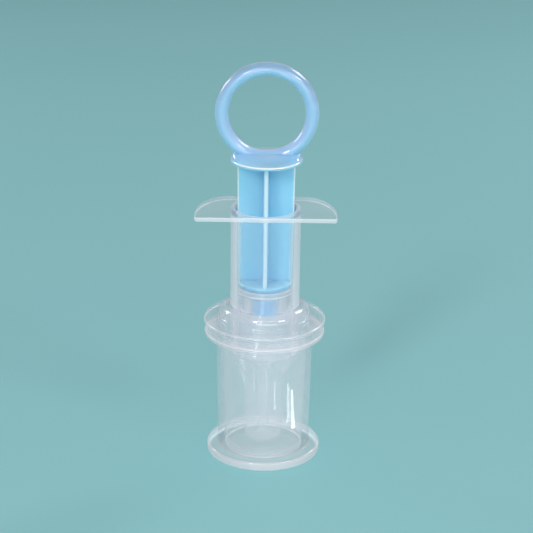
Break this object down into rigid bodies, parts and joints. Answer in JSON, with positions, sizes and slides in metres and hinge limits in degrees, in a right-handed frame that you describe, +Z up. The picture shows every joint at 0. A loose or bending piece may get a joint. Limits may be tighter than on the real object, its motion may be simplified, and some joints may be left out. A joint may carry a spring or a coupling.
{
  "type": "oral syringe with feeding teat",
  "caption": "Oral medicine syringe with a pull-ring plunger, a frosted barrel with a finger flange, a soft teat with a shield, and a clear spool-shaped cover that is also its stand.",
  "frame": {"origin": "centre of the cover's underside, where the syringe stands on a table", "axes": "+Z up along the syringe, +X along the finger flange, -Y towards the flange's straight front edge"},
  "size_m": [0.0446, 0.0392, 0.1308],
  "materials": {
    "cover_clear": "clear moulded polypropylene, glossy and slightly milky",
    "teat_silicone": "clear liquid silicone rubber, glossy shield and a soft milky teat",
    "barrel_frosted": "frosted translucent polypropylene",
    "seal_silicone": "milky translucent silicone rubber, satin",
    "stem_blue": "translucent sky blue polypropylene, satin",
    "ring_blue": "milky pale blue polypropylene, glossy"
  },
  "bodies": {
    "cover": {"cover": "cover_clear"},
    "teat": {"teat": "teat_silicone"},
    "barrel": {"barrel": "barrel_frosted"},
    "piston": {"piston_seal": "seal_silicone"},
    "plunger": {"plunger_stem": "stem_blue", "thumb_ring": "ring_blue"}
  },
  "joints": [
    {"name": "teat_lift", "type": "slide", "parent": "cover", "child": "teat", "axis": [0, 0, 1], "range_m": [0, 0.05]},
    {"name": "barrel_pull", "type": "slide", "parent": "teat", "child": "barrel", "axis": [0, 0, 1], "range_m": [0, 0.024]},
    {"name": "plunger_slide", "type": "slide", "parent": "barrel", "child": "piston", "axis": [0, 0, 1], "range_m": [-0.009, 0.038]},
    {"name": "plunger_spin", "type": "hinge", "parent": "piston", "child": "plunger", "pos_m": [0, 0, 0.058], "axis": [0, 0, 1], "continuous": true}
  ]
}
